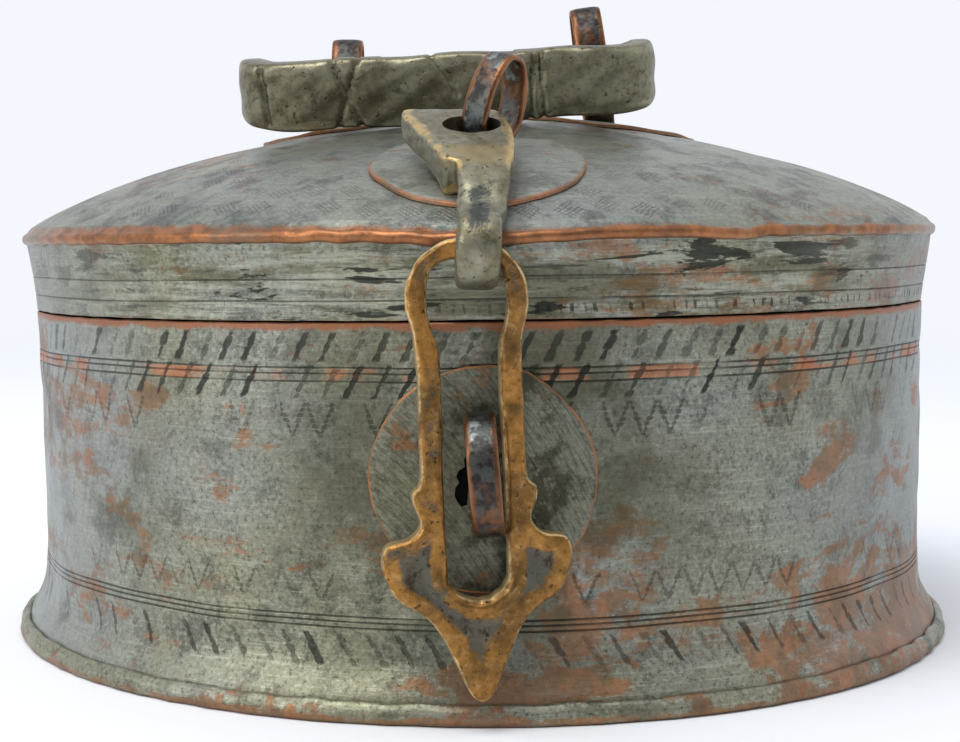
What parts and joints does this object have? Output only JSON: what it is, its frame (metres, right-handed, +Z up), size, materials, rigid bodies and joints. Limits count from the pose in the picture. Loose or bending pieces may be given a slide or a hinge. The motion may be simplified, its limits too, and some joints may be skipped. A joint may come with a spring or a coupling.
{
  "type": "spice box",
  "caption": "Round hinged spice box with a domed lid, bail handle, leaf hasp on a hook link and cups inside.",
  "frame": {"origin": "centre of the underside of the base pan", "axes": "+Z up, the hasp on the -Y side, the hinge on the +Y side, metres"},
  "size_m": [0.22, 0.2319, 0.1456],
  "materials": {
    "base_copper": "worn, with grey tin left on its upper lip",
    "body_tinned_copper": "worn tinning over copper, satin",
    "lid_tinned_copper": "worn tinning over copper, satin",
    "inner_tin": "plain tinning, satin",
    "washer_tin": "tarnished, with a bare copper edge",
    "strap_copper": "bare copper strap, polished by wear, dark in its middle",
    "hinge_copper": "tarnished copper",
    "hinge_brass": "tarnished",
    "rivet_copper": "satin",
    "hasp_brass": "cast brass, dark patina with worn bright edges",
    "handle_brass": "cast brass, dark olive patina"
  },
  "bodies": {
    "box": {"base_pan": "base_copper", "body_wall": "body_tinned_copper", "neck_ring": "inner_tin", "body_staple_washer": "washer_tin", "body_staple": "strap_copper", "hinge_body_leaf": "hinge_copper", "hinge_pin": "hinge_brass", "hinge_body_rivet_1": "rivet_copper", "hinge_body_rivet_2": "rivet_copper", "hinge_body_rivet_3": "rivet_copper", "spice_cup_centre": "inner_tin", "spice_cup_1": "inner_tin", "spice_cup_2": "inner_tin", "spice_cup_3": "inner_tin", "spice_cup_4": "inner_tin", "spice_cup_5": "inner_tin", "spice_cup_6": "inner_tin"},
    "lid": {"lid_dome": "lid_tinned_copper", "lid_collar": "lid_tinned_copper", "lid_hasp_washer": "washer_tin", "lid_hasp_eye": "strap_copper", "handle_washer_left": "washer_tin", "handle_washer_right": "washer_tin", "handle_eye_left": "strap_copper", "handle_eye_right": "strap_copper", "hinge_lid_leaf": "hinge_copper", "hinge_lid_rivet_1": "rivet_copper", "hinge_lid_rivet_2": "rivet_copper"},
    "link": {"hasp_link": "hasp_brass"},
    "hasp": {"hasp": "hasp_brass"},
    "handle": {"handle": "handle_brass"}
  },
  "joints": [
    {"name": "lid_hinge", "type": "hinge", "parent": "box", "child": "lid", "pos_m": [0, 0.1076, 0.075], "axis": [-1, 0, 0], "range_deg": [0, 104]},
    {"name": "link_swing", "type": "hinge", "parent": "lid", "child": "link", "pos_m": [0, -0.0777, 0.1128], "axis": [-1, 0, 0], "range_deg": [0, 60]},
    {"name": "hasp_swing", "type": "hinge", "parent": "link", "child": "hasp", "pos_m": [0, -0.1132, 0.0883], "axis": [-1, 0, 0], "range_deg": [0, 120]},
    {"name": "handle_bail", "type": "hinge", "parent": "lid", "child": "handle", "pos_m": [0, 0, 0.1319], "axis": [-0.9986, 0, -0.0523], "range_deg": [0, 200]}
  ]
}
